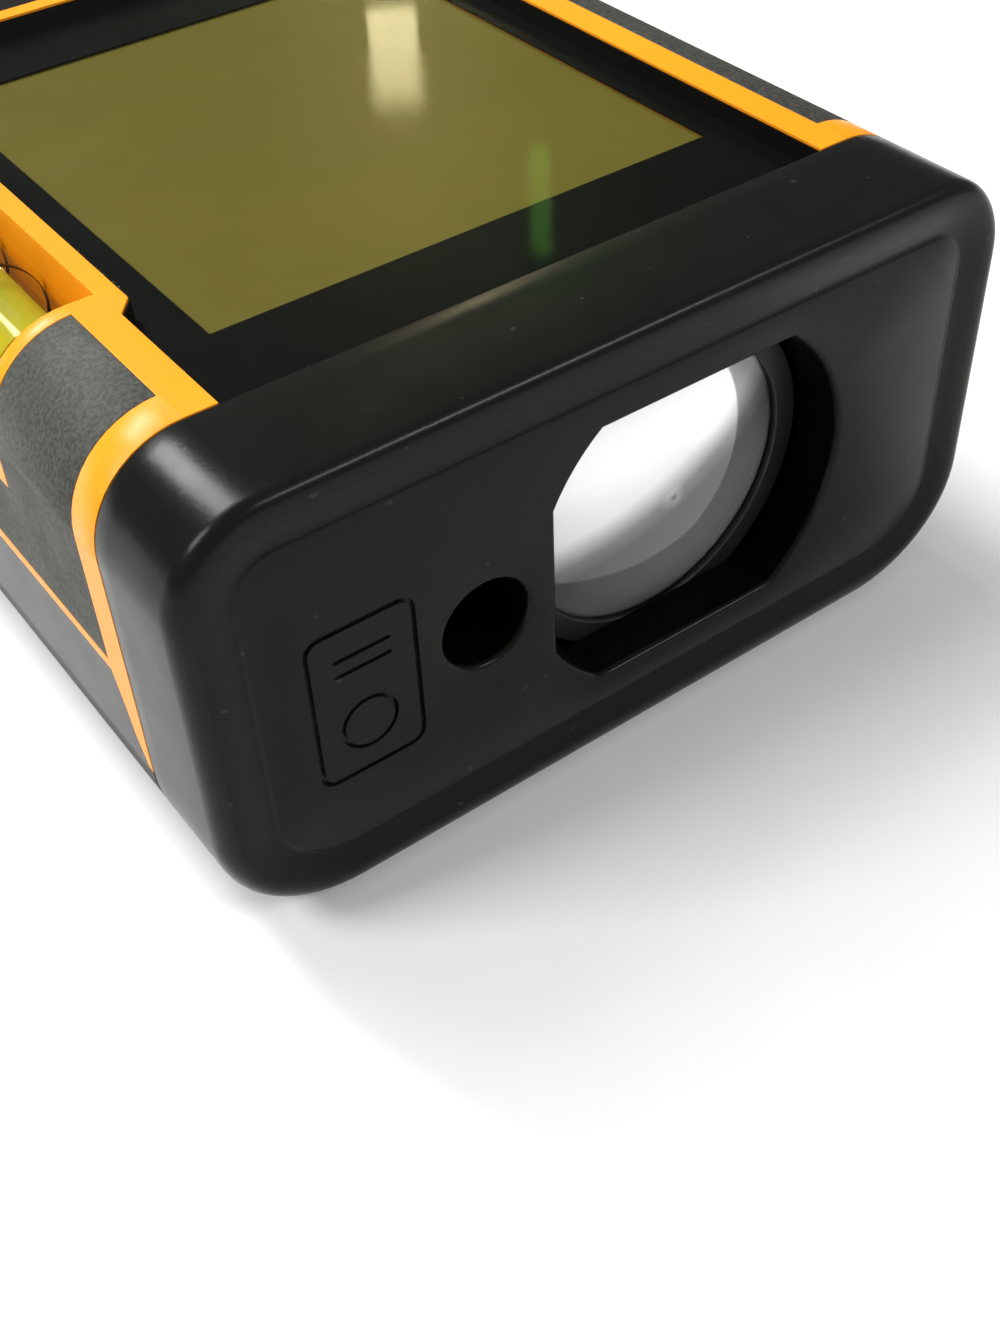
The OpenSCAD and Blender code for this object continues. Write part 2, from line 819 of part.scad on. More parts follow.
module contact_springs() {
    wire = 0.22;
    color([0.8, 0.8, 0.8]) {
        translate([cell_x, bay_y[0] + 0.5 + wire, cell_z]) rotate([-90, 0, 0])
            coil_spring(3, cell_front_y - bay_y[0] - 0.6 - 2 * wire, wire);
        translate([-cell_x, bay_y[1] - 0.5 - wire, cell_z]) rotate([90, 0, 0])
            coil_spring(3, bay_y[1] - cell_front_y - cell_l - 0.6 - 2 * wire, wire);
    }
}

module contact_plates() {
    color([0.82, 0.82, 0.8]) {
        box([-bay_hw + 1, bay_y[0] + 0.05, 3.5], [bay_hw - 1, bay_y[0] + 0.45, 12]);
        for (s = [-1, 1])
            box([s * cell_x - 4.4, bay_y[1] - 0.45, 3.5], [s * cell_x + 4.4, bay_y[1] - 0.05, 12]);
    }
}

// ---------- fasteners and label ----------

module case_screws() {
    color([0.5, 0.5, 0.52])
        for (p = screw_places) translate([p[0], p[1], head_z]) difference() {
            union() {
                cylinder(h = head_t, r = head_r);
                cylinder(h = 20 - head_z, r = screw_r);
            }
            for (a = [0, 90])
                rotate([0, 0, a]) translate([0, 0, 0.2]) cube([2.2, 0.5, 1.2], center = true);
        }
}

module rating_label() {
    color([0.75, 0.75, 0.75])
        translate([0, -22, 0.06]) linear_extrude(0.14) round_rect(25.4, 33.4, 1.2);
}

front_cap();
upper_housing();
lower_housing();
left_grip();
right_grip();
display_window();
window_mask();
lcd_glass();
lcd_backlight();
lcd_connector();
keypad_panel();
key_mat();
measure_button();
plus_key();
minus_key();
area_key();
unit_key();
reference_key();
memory_key();
light_key();
power_key();
dome_switches();
main_board();
board_components();
buzzer();
optics_frame();
receiver_lens();
lens_ring();
receiver_sensor();
sensor_board();
sensor_shield();
flex_cable();
laser_barrel();
laser_diode();
collimator_lens();
laser_window();
level_vial();
level_liquid();
level_bubble();
level_rings();
battery_door();
battery_left();
battery_right();
contact_springs();
contact_plates();
case_screws();
rating_label();
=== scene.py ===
"""Looks of the handheld laser distance meter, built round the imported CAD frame.

Lengths in this script are millimetres in the CAD's own frame, and MM turns them into metres when
a mesh is made: X is the width, -Y the laser end, +Z up out of the display.
"""

import json
import math

import bmesh
import bpy
import numpy as np
from mathutils import Matrix, Vector
from mathutils.geometry import delaunay_2d_cdt


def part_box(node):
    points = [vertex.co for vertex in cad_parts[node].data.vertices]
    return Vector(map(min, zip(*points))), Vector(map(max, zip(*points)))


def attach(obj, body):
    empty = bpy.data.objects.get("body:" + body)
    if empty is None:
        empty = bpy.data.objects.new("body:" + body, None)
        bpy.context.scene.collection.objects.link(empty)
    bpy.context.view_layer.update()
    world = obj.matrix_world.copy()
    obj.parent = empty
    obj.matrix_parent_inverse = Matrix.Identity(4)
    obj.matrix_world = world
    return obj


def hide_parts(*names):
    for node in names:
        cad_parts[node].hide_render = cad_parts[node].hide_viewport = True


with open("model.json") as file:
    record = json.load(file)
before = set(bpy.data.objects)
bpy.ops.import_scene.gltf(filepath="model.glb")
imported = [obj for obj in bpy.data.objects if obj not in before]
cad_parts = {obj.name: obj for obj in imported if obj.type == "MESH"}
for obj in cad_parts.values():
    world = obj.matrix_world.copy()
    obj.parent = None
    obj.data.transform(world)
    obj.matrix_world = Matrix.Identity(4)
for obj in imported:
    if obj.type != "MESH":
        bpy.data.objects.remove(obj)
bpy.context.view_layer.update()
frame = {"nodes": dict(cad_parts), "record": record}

MM = 0.001
NODES = frame["nodes"]


def box_mm(node):
    """Lowest and highest corner of a CAD node, in millimetres."""
    lo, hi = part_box(node)
    return lo / MM, hi / MM


# ---------- sizes taken from the frame ----------

CAP_LO, CAP_HI = box_mm("front_cap")
HOUSING_LO = box_mm("upper_housing")[0]
WINDOW_LO, WINDOW_HI = box_mm("display_window")
LCD_LO, LCD_HI = box_mm("lcd_glass")
LENS_LO, LENS_HI = box_mm("receiver_lens")
LASER_LO, LASER_HI = box_mm("laser_window")
VIAL_LO, VIAL_HI = box_mm("level_vial")

HALF_W = CAP_HI.x
CASE_H = CAP_HI.z
FRONT_Y = CAP_LO.y
CAP_REAR_Y = HOUSING_LO.y - 0.05
LENS_X = (LENS_LO.x + LENS_HI.x) / 2
LENS_Z = (LENS_LO.z + LENS_HI.z) / 2
LASER_X = (LASER_LO.x + LASER_HI.x) / 2
LASER_Z = (LASER_LO.z + LASER_HI.z) / 2
LASER_R = (LASER_HI.x - LASER_LO.x) / 2 + 0.02
VIAL_Z = (VIAL_LO.z + VIAL_HI.z) / 2

# Radii of the case and of the receiver opening, as the CAD has them
TOP_R = 5.7
BOTTOM_R = 8.0
OPENING_R = 10.9
OPENING_HALF_H = 8.7
OPENING_LEFT = 1.2


# ---------- small mesh tools ----------

def srgb(r, g, b):
    """Linear colour of an 8-bit screen colour."""
    def lin(c):
        c /= 255
        return c / 12.92 if c <= 0.04045 else ((c + 0.055) / 1.055) ** 2.4
    return (lin(r), lin(g), lin(b), 1.0)


def add_object(name, verts, faces, body, material, sharp=40):
    """A smooth shaded mesh object from points in millimetres, riding on a body."""
    mesh = bpy.data.meshes.new(name)
    mesh.from_pydata([tuple(c * MM for c in v) for v in verts], [], faces)
    bm = bmesh.new()
    bm.from_mesh(mesh)
    bmesh.ops.remove_doubles(bm, verts=bm.verts, dist=1e-7)
    bmesh.ops.dissolve_degenerate(bm, dist=1e-8, edges=bm.edges)
    bmesh.ops.recalc_face_normals(bm, faces=bm.faces)
    bm.to_mesh(mesh)
    bm.free()
    for p in mesh.polygons:
        p.use_smooth = True
    mesh.set_sharp_from_angle(angle=math.radians(sharp))
    obj = bpy.data.objects.new(name, mesh)
    bpy.context.scene.collection.objects.link(obj)
    obj.data.materials.append(material)
    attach(obj, body)
    return obj


def stand_for(obj, slot, *nodes):
    """The piece replaces CAD nodes, which it hides. The slot argument is not used."""
    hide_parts(*nodes)
    return obj


def circle(x, y, r, n=48):
    turns = [math.tau * i / n for i in range(n)]
    return [(x + r * math.cos(t), y + r * math.sin(t)) for t in turns]


def area_of(loop):
    return sum(a[0] * b[1] - b[0] * a[1] for a, b in zip(loop, loop[1:] + loop[:1])) / 2


def turned(loop, positive):
    """The loop run anticlockwise (positive) or clockwise."""
    return list(loop) if (area_of(loop) > 0) == positive else list(reversed(loop))


def round_corners(points, radii, segments=5):
    """A closed outline with each corner rounded by its radius."""
    out = []
    n = len(points)
    for i in range(n):
        p = Vector(points[i])
        r = radii[i] if isinstance(radii, (list, tuple)) else radii
        a = (Vector(points[i - 1]) - p)
        b = (Vector(points[(i + 1) % n]) - p)
        if r <= 0 or a.length < 1e-9 or b.length < 1e-9:
            out.append(tuple(p))
            continue
        half = a.angle(b) / 2
        back = r / math.tan(half)
        back = min(back, 0.49 * a.length, 0.49 * b.length)
        r = back * math.tan(half)
        start, end = p + a.normalized() * back, p + b.normalized() * back
        centre = p + (a.normalized() + b.normalized()).normalized() * (r / math.sin(half))
        u, w = start - centre, end - centre
        turn = u.angle_signed(w)
        for k in range(segments + 1):
            t = -turn * k / segments
            out.append((centre.x + u.x * math.cos(t) - u.y * math.sin(t),
                        centre.y + u.x * math.sin(t) + u.y * math.cos(t)))
    return out


def resample(loop, step):
    """The closed loop with its long edges divided."""
    out = []
    for a, b in zip(loop, loop[1:] + loop[:1]):
        n = max(1, math.ceil(math.dist(a, b) / step))
        out += [(a[0] + (b[0] - a[0]) * k / n, a[1] + (b[1] - a[1]) * k / n) for k in range(n)]
    return out


def offset_loop(loop, d):
    """Each point moved by d to the left of the loop's direction of travel."""
    pts = [Vector(p) for p in loop]
    out = []
    for i, p in enumerate(pts):
        a = (p - pts[i - 1]).normalized()
        b = (pts[(i + 1) % len(pts)] - p).normalized()
        m = a + b
        m = m.normalized() if m.length > 1e-6 else a
        n = Vector((-m.y, m.x))
        cos_half = max(0.5, abs(n.dot(Vector((-a.y, a.x)))))
        out.append(tuple(p + n * (d / cos_half)))
    return out


def inside(points, loops):
    """Which points lie inside an odd number of loops."""
    pts = np.asarray(points, float)
    odd = np.zeros(len(pts), bool)
    for loop in loops:
        a = np.asarray(loop, float)
        b = np.roll(a, -1, axis=0)
        for (x0, y0), (x1, y1) in zip(a, b):
            if y0 == y1:
                continue
            hit = (pts[:, 1] > min(y0, y1)) & (pts[:, 1] <= max(y0, y1))
            x = x0 + (pts[:, 1] - y0) * (x1 - x0) / (y1 - y0)
            odd ^= hit & (pts[:, 0] < x)
    return odd


# Least distance from a point of a grid to the outline it fills
GRID_GAP = 0.45


def near(points, loops, reach):
    """Which points are closer than reach to a loop's points."""
    pts = np.asarray(points, float)
    close = np.zeros(len(pts), bool)
    for loop in loops:
        for p in np.asarray(loop, float):
            close |= np.hypot(pts[:, 0] - p[0], pts[:, 1] - p[1]) < reach
    return close


def fill(loops, grid):
    """Triangles between the loops: (grid points used, faces over loop points then grid points)."""
    grid = np.asarray(grid, float).reshape(-1, 2)
    if len(grid):
        grid = grid[inside(grid, loops)]
    if len(grid):
        grid = grid[~near(grid, loops, GRID_GAP)]
    flat, edges = [], []
    for loop in loops:
        n0 = len(flat)
        flat += [Vector(p) for p in loop]
        edges += [(n0 + i, n0 + (i + 1) % len(loop)) for i in range(len(loop))]
    count = len(flat)
    flat += [Vector(p) for p in grid]
    verts, _, faces, origin, _, _ = delaunay_2d_cdt(flat, edges, [], 1, 1e-7)
    index = [o[0] for o in origin]
    centres = [sum((verts[i] for i in f), Vector((0, 0))) / len(f) for f in faces]
    keep = inside(centres, loops) if faces else []
    return flat[count:], [[index[i] for i in f] for f, k in zip(faces, keep) if k]


def roll_profile(radius, steps=4):
    """(inward, down) pairs of a quarter round edge, from its foot to a little past the flat."""
    if radius <= 0:
        return [(0.0, 0.0)]
    turns = [math.pi / 2 * k / steps for k in range(steps + 1)]
    arc = [(radius * (1 - math.cos(t)), radius * (1 - math.sin(t))) for t in turns]
    return arc + [(radius * 1.6, 0.0)]


def slab(outer, holes, thick, roll, place, grid=(), step=0.9, crown=None):
    """Verts and faces of a closed slab. Its outline and holes are loops in a plane that
    place(u, v, up) puts in space, and its upper edges are rounded. crown(u, v) lifts the
    upper face."""
    loops = [turned(resample(outer, step), True)]
    loops += [turned(resample(h, step), False) for h in holes]
    verts, faces = [], []
    last = []
    first = []
    for loop in loops:
        before = None
        for inward, down in roll_profile(roll):
            ring = list(range(len(verts), len(verts) + len(loop)))
            verts += [(p[0], p[1], -down) for p in offset_loop(loop, inward)]
            if before:
                n = len(ring)
                faces += [[before[i], before[(i + 1) % n], ring[(i + 1) % n], ring[i]]
                          for i in range(n)]
            else:
                first.append(ring)
            before = ring
        last.append(before)
    extra, triangles = fill([[verts[i][:2] for i in ring] for ring in last], grid)
    index = [i for ring in last for i in ring]
    index += range(len(verts), len(verts) + len(extra))
    verts += [(p.x, p.y, 0.0) for p in extra]
    faces += [[index[i] for i in t] for t in triangles]
    n = len(verts)
    faces += [[i + n for i in reversed(f)] for f in faces]
    for ring in first:
        m = len(ring)
        faces += [[ring[i] + n, ring[(i + 1) % m] + n, ring[(i + 1) % m], ring[i]]
                  for i in range(m)]
    top = [place(u, v, up + (crown(u, v) if crown else 0)) for u, v, up in verts]
    bottom = [place(u, v, -thick) for u, v, up in verts]
    return top + bottom, faces


def joined(*parts):
    """Several (verts, faces) pairs as one."""
    verts, faces = [], []
    for v, f in parts:
        n = len(verts)
        verts += list(v)
        faces += [[i + n for i in face] for face in f]
    return verts, faces


def loft(rings, closed_ends=True):
    """Verts and faces of a tube through rings with equal counts of points."""
    n = len(rings[0])
    verts = [p for ring in rings for p in ring]
    faces = []
    for k in range(len(rings) - 1):
        for i in range(n):
            j = (i + 1) % n
            faces.append([k * n + i, k * n + j, (k + 1) * n + j, (k + 1) * n + i])
    if closed_ends:
        faces.append(list(range(n - 1, -1, -1)))
        faces.append([(len(rings) - 1) * n + i for i in range(n)])
    return verts, faces


# ---------- the case's outline ----------

# Distances round the outline from the middle of the top: to the ends of the top's flat, its round,
# the side's flat, the bottom's round and the bottom's flat
A0 = HALF_W - TOP_R
A1 = A0 + TOP_R * math.pi / 2
A2 = A1 + CASE_H - TOP_R - BOTTOM_R
A3 = A2 + BOTTOM_R * math.pi / 2
HALF_GIRTH = A3 + HALF_W - BOTTOM_R
LEAST_R = 0.7


def section(s, side=0.0, top=0.0, bottom=0.0):
    """Point and outward normal of the case's outline at distance s round it, with inset sides."""
    s = (s + HALF_GIRTH) % (2 * HALF_GIRTH) - HALF_GIRTH
    sign, a = (1 if s >= 0 else -1), abs(s)
    rtx, rtz = max(TOP_R - side, LEAST_R), max(TOP_R - top, LEAST_R)
    rbx, rbz = max(BOTTOM_R - side, LEAST_R), max(BOTTOM_R - bottom, LEAST_R)
    xt, zt = HALF_W - side - rtx, CASE_H - top - rtz
    xb, zb = HALF_W - side - rbx, bottom + rbz
    if a <= A0:
        x, z, n = xt * a / A0, CASE_H - top, (0, 1)
    elif a <= A1:
        t = (a - A0) / TOP_R
        x, z, n = xt + rtx * math.sin(t), zt + rtz * math.cos(t), (math.sin(t), math.cos(t))
    elif a <= A2:
        f = (a - A1) / (A2 - A1)
        x, z, n = HALF_W - side, zt + (zb - zt) * f, (1, 0)
    elif a <= A3:
        t = (a - A2) / BOTTOM_R
        x, z, n = xb + rbx * math.cos(t), zb - rbz * math.sin(t), (math.cos(t), -math.sin(t))
    else:
        f = (a - A3) / (HALF_GIRTH - A3)
        x, z, n = xb * (1 - f), bottom, (0, -1)
    return (sign * x, z), (sign * n[0], n[1])


def flat_at(z):
    """Place for slab(): plan coordinates at a height."""
    return lambda u, v, up: Vector((u, v, z + up))


# ---------- materials ----------

MATERIALS = {}

# Noise scales, in cycles a metre, and the tone of a dust speck
TONE_SCALE = 90
GLOSS_SCALE = 260
DUST_SCALE = 1500
SMUDGE_SCALE = 150
DUST_TONE = 0.4


def new_material(name):
    """A node material's (material, nodes, links, its Principled shader)."""
    mat = bpy.data.materials.new(name)
    mat.use_nodes = True
    tree = mat.node_tree
    MATERIALS[name] = mat
    return mat, tree.nodes, tree.links, tree.nodes["Principled BSDF"]


def noise(nodes, links, scale, detail=4.0, rough=0.6, coords="Object"):
    """A noise texture in the object's own coordinates, scale in cycles a metre."""
    where = nodes.new("ShaderNodeTexCoord")
    tex = nodes.new("ShaderNodeTexNoise")
    tex.inputs["Scale"].default_value = scale
    tex.inputs["Detail"].default_value = detail
    tex.inputs["Roughness"].default_value = rough
    links.new(where.outputs[coords], tex.inputs["Vector"])
    return tex.outputs["Fac"]


def ramp(nodes, links, factor, stops):
    """A colour ramp over (position, colour) stops."""
    node = nodes.new("ShaderNodeValToRGB")
    band = node.color_ramp
    while len(band.elements) < len(stops):
        band.elements.new(0.5)
    for element, (position, colour) in zip(band.elements, stops):
        element.position = position
        element.color = colour
    links.new(factor, node.inputs["Fac"])
    return node.outputs["Color"]


def shade(colour, factor):
    return tuple(min(1.0, c * factor) for c in colour[:3]) + (1.0,)


def grey(value):
    return (value, value, value, 1.0)


def along(nodes, links, direction, low, high):
    """0 to 1 between two distances, in millimetres, along a direction in the object's own frame."""
    where = nodes.new("ShaderNodeTexCoord")
    dot = nodes.new("ShaderNodeVectorMath")
    dot.operation = "DOT_PRODUCT"
    dot.inputs[1].default_value = direction
    links.new(where.outputs["Object"], dot.inputs[0])
    span = nodes.new("ShaderNodeMapRange")
    span.inputs["From Min"].default_value = low * MM
    span.inputs["From Max"].default_value = high * MM
    links.new(dot.outputs["Value"], span.inputs["Value"])
    return span.outputs["Result"]


def moulded(name, colour, rough, vary=0.12, grain=3500, grain_mm=0.012, specks=0.0,
            specular=0.5, metal=0.0, speckle=0.0):
    """Moulded or plated surface: uneven colour and gloss, fine grain, and a few dust specks."""
    mat, nodes, links, bsdf = new_material(name)
    broad = noise(nodes, links, TONE_SCALE)
    tone = ramp(nodes, links, broad,
                [(0.3, shade(colour, 1 - vary)), (0.7, shade(colour, 1 + vary))])
    if speckle:
        grains = ramp(nodes, links, noise(nodes, links, grain, 2.0),
                      [(0.38, grey(1 - speckle)), (0.62, grey(1 + speckle))])
        multiply = nodes.new("ShaderNodeMix")
        multiply.data_type = "RGBA"
        multiply.blend_type = "MULTIPLY"
        multiply.inputs["Factor"].default_value = 1
        links.new(tone, multiply.inputs[6])
        links.new(grains, multiply.inputs[7])
        tone = multiply.outputs[2]
    if specks:
        dust = ramp(nodes, links, noise(nodes, links, DUST_SCALE, 0.0),
                    [(0.835, grey(0)), (0.85, grey(specks))])
        mix = nodes.new("ShaderNodeMix")
        mix.data_type = "RGBA"
        links.new(dust, mix.inputs["Factor"])
        links.new(tone, mix.inputs[6])
        mix.inputs[7].default_value = grey(DUST_TONE)
        tone = mix.outputs[2]
    links.new(tone, bsdf.inputs["Base Color"])
    gloss = ramp(nodes, links, noise(nodes, links, GLOSS_SCALE),
                 [(0.25, grey(rough * 0.85)), (0.75, grey(rough * 1.15))])
    links.new(gloss, bsdf.inputs["Roughness"])
    bump = nodes.new("ShaderNodeBump")
    bump.inputs["Strength"].default_value = 0.5
    bump.inputs["Distance"].default_value = grain_mm * MM
    links.new(noise(nodes, links, grain, 3.0), bump.inputs["Height"])
    links.new(bump.outputs["Normal"], bsdf.inputs["Normal"])
    bsdf.inputs["Specular IOR Level"].default_value = specular
    bsdf.inputs["Metallic"].default_value = metal
    return mat


def clear(name, tint, rough=0.03, haze=0.06, ior=1.49, inner=0.05, mirror=0.0):
    """Clear moulded plastic or glass: see-through, glossy at its surface, with a little haze."""
    mat, nodes, links, bsdf = new_material(name)
    smudge = ramp(nodes, links, noise(nodes, links, SMUDGE_SCALE),
                  [(0.35, grey(rough)), (0.75, grey(rough * 3))])
    links.new(smudge, bsdf.inputs["Roughness"])
    bsdf.inputs["Base Color"].default_value = shade(tint, inner)
    bsdf.inputs["Metallic"].default_value = mirror
    bsdf.inputs["IOR"].default_value = ior
    through = nodes.new("ShaderNodeBsdfTransparent")
    through.inputs["Color"].default_value = tint
    fresnel = nodes.new("ShaderNodeFresnel")
    fresnel.inputs["IOR"].default_value = ior
    lift = nodes.new("ShaderNodeMath")
    lift.operation = "ADD"
    lift.inputs[1].default_value = haze
    side = nodes.new("ShaderNodeNewGeometry")
    outer = nodes.new("ShaderNodeMath")
    outer.operation = "SUBTRACT"
    outer.inputs[0].default_value = 1
    links.new(side.outputs["Backfacing"], outer.inputs[1])
    shine = nodes.new("ShaderNodeMath")
    shine.operation = "MULTIPLY"
    links.new(fresnel.outputs["Fac"], lift.inputs[0])
    links.new(lift.outputs["Value"], shine.inputs[0])
    links.new(outer.outputs["Value"], shine.inputs[1])
    both = nodes.new("ShaderNodeMixShader")
    links.new(shine.outputs["Value"], both.inputs["Fac"])
    links.new(through.outputs["BSDF"], both.inputs[1])
    links.new(bsdf.outputs["BSDF"], both.inputs[2])
    links.new(both.outputs["Shader"], nodes["Material Output"].inputs["Surface"])
    return mat


moulded("black_plastic", srgb(19, 20, 17), 0.25, specks=0.04, specular=0.11)
# Painted shade: a darker, almost glossless black for the cap's tunnel walls, which are the cap's own plastic
moulded("tunnel_painted_shade", srgb(4, 4, 4), 0.5, specular=0.03)
moulded("orange_plastic", srgb(243, 150, 20), 0.38, vary=0.05, grain_mm=0.006, specular=0.25)
moulded("grip_rubber", srgb(58, 59, 53), 0.62, grain=4200, grain_mm=0.06, specular=0.3,
        speckle=0.38)
moulded("mask_ink", srgb(6, 6, 6), 0.35, specular=0.1)
moulded("light_guide", srgb(235, 235, 225), 0.4)
moulded("silicone", srgb(190, 190, 185), 0.6)
moulded("gloss_black", srgb(14, 14, 15), 0.2, grain_mm=0.002)
moulded("button_orange", srgb(248, 140, 26), 0.42, vary=0.05)
moulded("key_grey", srgb(78, 79, 80), 0.5)
moulded("spring_steel", srgb(190, 190, 188), 0.25, metal=1.0)
moulded("circuit_board", srgb(24, 84, 48), 0.35)
moulded("chip_plastic", srgb(26, 26, 28), 0.55)
moulded("ring_plastic", srgb(22, 23, 22), 0.42, grain_mm=0.003)
moulded("gilt_metal", srgb(205, 180, 120), 0.28, metal=1.0)
moulded("tinned_steel", srgb(185, 186, 182), 0.3, metal=1.0)
moulded("flex_film", srgb(170, 100, 34), 0.3)
moulded("brass", srgb(196, 160, 84), 0.3, metal=1.0)
moulded("cell_jacket", srgb(62, 72, 84), 0.3, metal=0.4)
moulded("screw_steel", srgb(150, 150, 152), 0.35, metal=1.0)
moulded("label_film", srgb(196, 197, 196), 0.45)
moulded("lcd_panel", srgb(106, 94, 36), 0.35, vary=0.06, grain_mm=0.002, specular=0.2)
moulded("bubble", srgb(232, 250, 170), 0.15)
clear("clear_window", (0.93, 0.95, 0.92, 1), haze=0.0, inner=0.01)
# The lens's base colour is replaced below by a painted reflection
lens_painted_reflection = clear("lens_glass", (0.86, 0.9, 0.9, 1), rough=0.04, haze=0.88, ior=1.52, inner=1.05,
                  mirror=0.45)
clear("laser_filter", (0.12, 0.02, 0.02, 1), haze=0.02)
clear("vial_acrylic", (0.98, 0.97, 0.86, 1), haze=0.04)
# The liquid's colour is set below: yellow, with painted shade darkening it towards the top
level_tint_painted_shade = clear("level_liquid", (1.0, 0.95, 0.10, 1), haze=0.55, inner=0.9)


def tone_along(mat, direction, low, high, stops):
    """Colour that changes along a direction in the object's own frame."""
    nodes, links = mat.node_tree.nodes, mat.node_tree.links
    tone = ramp(nodes, links, along(nodes, links, direction, low, high), stops)
    links.new(tone, nodes["Principled BSDF"].inputs["Base Color"])


# The lens's colour is a painted reflection: pale above a slanting line near the lens's centre and grey below
# it.
# The level's liquid is yellow low down, with painted shade darkening it towards the top.
LENS_SLANT = 0.395
LENS_MID = LENS_Z - LENS_SLANT * LENS_X
tone_along(lens_painted_reflection, (-LENS_SLANT, 0, 1), LENS_MID - 9, LENS_MID + 9,
           [(0.0, grey(0.34)), (0.44, grey(0.20)), (0.51, grey(0.30)), (0.62, grey(0.98))])
tone_along(level_tint_painted_shade, (0, 0, 1), VIAL_Z - 2.4, VIAL_Z + 2.4,
           [(0.0, (1.0, 0.95, 0.01, 1)), (0.55, (1.0, 0.90, 0.02, 1)), (1.0, (0.55, 0.54, 0.05, 1))])


# ---------- CAD nodes ----------

# Moulded nodes whose sharp edges get a small round, with its radius in millimetres
EDGE_ROUND = {
    "upper_housing": 0.22, "lower_housing": 0.25, "left_grip": 0.12, "right_grip": 0.12,
    "display_window": 0.08, "keypad_panel": 0.12, "battery_door": 0.2, "lens_ring": 0.1,
    "laser_barrel": 0.1, "optics_frame": 0.1, "main_board": 0.06, "sensor_board": 0.06,
    "board_components": 0.08, "buzzer": 0.2, "rating_label": 0.03, "case_screws": 0.06,
    "level_vial": 0.25, "battery_left": 0.35, "battery_right": 0.35, "sensor_shield": 0.1,
}


def finish_nodes():
    """Every CAD node gets its slot's material, and the moulded ones softened edges."""
    for sub in frame["record"]["subparts"]:
        node = NODES[sub["node"]]
        node.data.materials.clear()
        node.data.materials.append(MATERIALS[sub["material_slot"]])
        weld = node.modifiers.new("weld", "WELD")
        weld.merge_threshold = 0.002 * MM
        if sub["node"] in EDGE_ROUND:
            bevel = node.modifiers.new("edge", "BEVEL")
            bevel.width = EDGE_ROUND[sub["node"]] * MM
            bevel.segments = 2
            bevel.limit_method = "ANGLE"
            bevel.angle_limit = math.radians(35)
            bevel.harden_normals = True


# ---------- front cap ----------

FACE_BACK = 0.3
INNER_BACK = 2.4
WALL = 2.4
HOOD_BACK = 3.5
# Insets at the sides, top and bottom: of the rolled rim, of its reach backwards and of the face
RIM = (1.0, 0.85, 1.9)
RIM_REACH = (1.3, 0.8, 1.7)
FACE_INSET = (3.5, 3.4, 3.9)
# The sunk band between rim and face, as (share of the way inwards, depth) pairs
BAND = ((0.1, 0.0), (0.25, 0.05), (0.55, 0.24), (0.8, 0.42), (0.88, 0.43), (0.94, 0.36), (1.0, FACE_BACK))
# Rounded mouth of an opening, and how far its inner collar stands out
MOUTH_ROUND = 0.35
LASER_COLLAR, OPENING_COLLAR = 0.6, 0.8
SIGN_X, SIGN_Z, SIGN_W, SIGN_H = -17.5, 13.8, 6.6, 10.4
GROOVE_W = 0.3
GROOVE_DEPTH = 0.25


def round_stops():
    """Distances round the case for the points of a ring: close together round its long edges."""
    spans = [(0, A0, 18), (A0, A1, 14), (A1, A2, 9), (A2, A3, 16), (A3, HALF_GIRTH, 16)]
    half = [a + (b - a) * k / n for a, b, n in spans for k in range(n)]
    return half + [-s for s in reversed(half[1:] + [HALF_GIRTH])]


def cap_ring(side, top, bottom, back=0.0, round_back=None, y=None):
    """One ring of the cap: the case's outline, inset by its own amount at the sides, top and bottom.
    round_back is how far the front fillet reaches back there."""
    ring = []
    for s in round_stops():
        (x, z), (nx, nz) = section(s, side, top, bottom)
        at = y
        if at is None:
            at = FRONT_Y + back
            if round_back:
                at += round_back[0] * nx * nx + round_back[1 if nz > 0 else 2] * nz * nz
        ring.append(Vector((x, at, z)))
    return ring


def opening_outline(grow):
    """The receiver opening: a circle cut by flats above, below and towards the laser."""
    r, top, left = OPENING_R + grow, OPENING_HALF_H + grow, OPENING_R - OPENING_LEFT + grow
    corner = math.asin(top / r)
    flank = math.acos(-left / r)
    stops = [-flank, -math.pi + corner, -corner, corner, math.pi - corner, flank]
    angles = []
    for a, b, n in zip(stops, stops[1:] + [stops[0] + math.tau], (6, 14, 20, 14, 6, 10)):
        angles += [a + (b - a) * k / n for k in range(n)]
    out = []
    for a in angles:
        c, d = math.cos(a), math.sin(a)
        reach = min(r, top / max(abs(d), 1e-6))
        if c < -1e-6:
            reach = min(reach, left / -c)
        out.append((LENS_X + reach * c, LENS_Z + reach * d))
    return out


def round_rect(x, z, w, h, r):
    return round_corners([(x - w / 2, z - h / 2), (x + w / 2, z - h / 2),
                          (x + w / 2, z + h / 2), (x - w / 2, z + h / 2)], r)


def sign_loops():
    """Outlines of the sign plate's moulded lines, as (outer, inner) pairs: frame, ring and two bars."""
    frame_line = (round_rect(SIGN_X, SIGN_Z, SIGN_W, SIGN_H, 1.0),
                  round_rect(SIGN_X, SIGN_Z, SIGN_W - 2 * GROOVE_W, SIGN_H - 2 * GROOVE_W, 0.7))
    ring_line = (circle(SIGN_X, SIGN_Z - 1.9, 1.75, 36), circle(SIGN_X, SIGN_Z - 1.9, 1.5, 36))
    bars = [(round_rect(SIGN_X, SIGN_Z + z, 3.4, 0.26, 0.12), None) for z in (2.1, 3.1)]
    return [frame_line, ring_line] + bars


def planar(loops, y, forward, grid=()):
    """Faces that fill the loops in the plane at y."""
    loops = [turned(l, True) for l in loops]
    extra, triangles = fill(loops, grid)
    verts = [Vector((u, y, v)) for loop in loops for u, v in loop]
    verts += [Vector((p.x, y, p.y)) for p in extra]
    return verts, [t if forward else t[::-1] for t in triangles]


def wall_between(loop_a, y_a, loop_b, y_b):
    """A band of faces from one loop to another with the same number of points."""
    ends = ((loop_a, y_a), (loop_b, y_b))
    return loft([[Vector((u, y, v)) for u, v in loop] for loop, y in ends], False)


